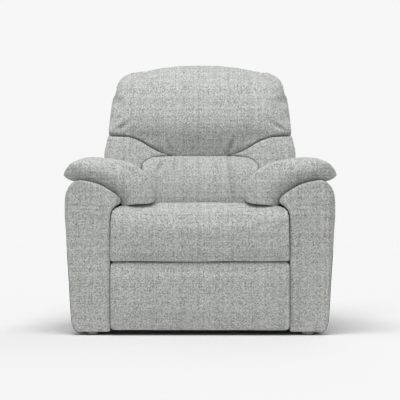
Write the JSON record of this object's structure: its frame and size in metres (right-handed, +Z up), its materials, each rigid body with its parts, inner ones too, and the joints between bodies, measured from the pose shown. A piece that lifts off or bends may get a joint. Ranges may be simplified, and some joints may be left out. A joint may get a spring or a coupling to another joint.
{
  "type": "recliner armchair",
  "caption": "Upholstered recliner armchair with pillow arms, a leaning padded back that reclines as the seat slides forward, and a footrest that folds out on links.",
  "frame": {"origin": "middle of the chair's outline on the floor", "axes": "+Z up, the chair faces -Y, +X toward the sitter's left arm (the right side as seen from the front)"},
  "size_m": [0.98, 0.9273, 1.031],
  "materials": {
    "upholstery": "light grey mottled tweed weave",
    "lining": "black woven lining and webbing",
    "timber": "planed, unvarnished",
    "black_steel": "black powder coat",
    "bright_steel": "zinc plated",
    "plastic": "moulded, fine texture"
  },
  "bodies": {
    "base": {"arm_cover_left": "upholstery", "arm_cover_right": "upholstery", "arm_pad_left": "upholstery", "arm_pad_right": "upholstery", "arm_panel_left": "timber", "arm_panel_right": "timber", "arm_posts_left": "timber", "arm_posts_right": "timber", "arm_top_board_left": "timber", "arm_top_board_right": "timber", "floor_glides": "plastic", "base_rail_left": "black_steel", "base_rail_right": "black_steel", "front_cross_tube": "black_steel", "rear_cross_tube": "black_steel", "base_bolts": "bright_steel", "rear_panel": "upholstery", "release_cup": "plastic", "release_pin": "bright_steel", "release_cable": "plastic"},
    "release_handle": {"release_handle": "plastic"},
    "seat": {"side_plate_left": "black_steel", "side_plate_right": "black_steel", "side_plate_pins": "bright_steel", "slide_blocks": "plastic", "seat_rail_left": "timber", "seat_rail_right": "timber", "seat_rail_front": "timber", "seat_rail_rear": "timber", "seat_springs": "bright_steel", "seat_cushion": "upholstery", "seat_dust_cover": "lining", "seat_bolts": "bright_steel"},
    "swing_links": {"torque_tube": "black_steel", "swing_link_left": "black_steel", "swing_link_right": "black_steel", "swing_pins": "bright_steel"},
    "long_links": {"long_link_left": "black_steel", "long_link_right": "black_steel"},
    "control_links": {"control_link_left": "black_steel", "control_link_right": "black_steel"},
    "footrest": {"footrest_board": "timber", "footrest_pad": "upholstery", "footrest_bracket_left": "black_steel", "footrest_bracket_right": "black_steel", "footrest_bolts": "bright_steel"},
    "back": {"back_bracket_left": "black_steel", "back_bracket_right": "black_steel", "back_post_left": "timber", "back_post_right": "timber", "back_top_rail": "timber", "back_low_rail": "timber", "back_webbing": "lining", "back_cushion_lumbar": "upholstery", "back_cushion_head": "upholstery", "back_wing_left": "upholstery", "back_wing_right": "upholstery", "outside_back": "upholstery", "back_bolts": "bright_steel"}
  },
  "joints": [
    {"name": "release_pull", "type": "hinge", "parent": "base", "child": "release_handle", "pos_m": [-0.477, -0.155, 0.425], "axis": [0, 1, 0], "range_deg": [0, 25], "stiffness_Nm_per_rad": 0.5},
    {"name": "back_recline", "type": "hinge", "parent": "seat", "child": "back", "pos_m": [0, 0.18, 0.33], "axis": [-1, 0, 0], "range_deg": [0, 35]},
    {"name": "seat_slide", "type": "slide", "parent": "base", "child": "seat", "axis": [0, -1, 0], "range_m": [0, 0.06]},
    {"name": "footrest_open", "type": "hinge", "parent": "seat", "child": "swing_links", "pos_m": [0, -0.35402, 0.24], "axis": [-1, 0, 0], "range_deg": [0, 100]},
    {"name": "long_link_fold", "type": "hinge", "parent": "swing_links", "child": "long_links", "pos_m": [0, -0.30226, 0.04682], "axis": [-1, 0, 0], "range_deg": [-123, 0]},
    {"name": "footrest_turn", "type": "hinge", "parent": "long_links", "child": "footrest", "pos_m": [0, -0.392, 0.21994], "axis": [-1, 0, 0], "range_deg": [0, 115]},
    {"name": "control_link_swing", "type": "hinge", "parent": "seat", "child": "control_links", "pos_m": [0, -0.36702, 0.212], "axis": [-1, 0, 0], "range_deg": [0, 103.5]}
  ],
  "couplings": [
    {"joint": "seat_slide", "follows": "back_recline", "m_per_rad": 0.098},
    {"joint": "long_link_fold", "follows": "footrest_open", "ratio": -1.226},
    {"joint": "footrest_turn", "follows": "footrest_open", "ratio": 1.146},
    {"joint": "control_link_swing", "follows": "footrest_open", "ratio": 1.034}
  ]
}
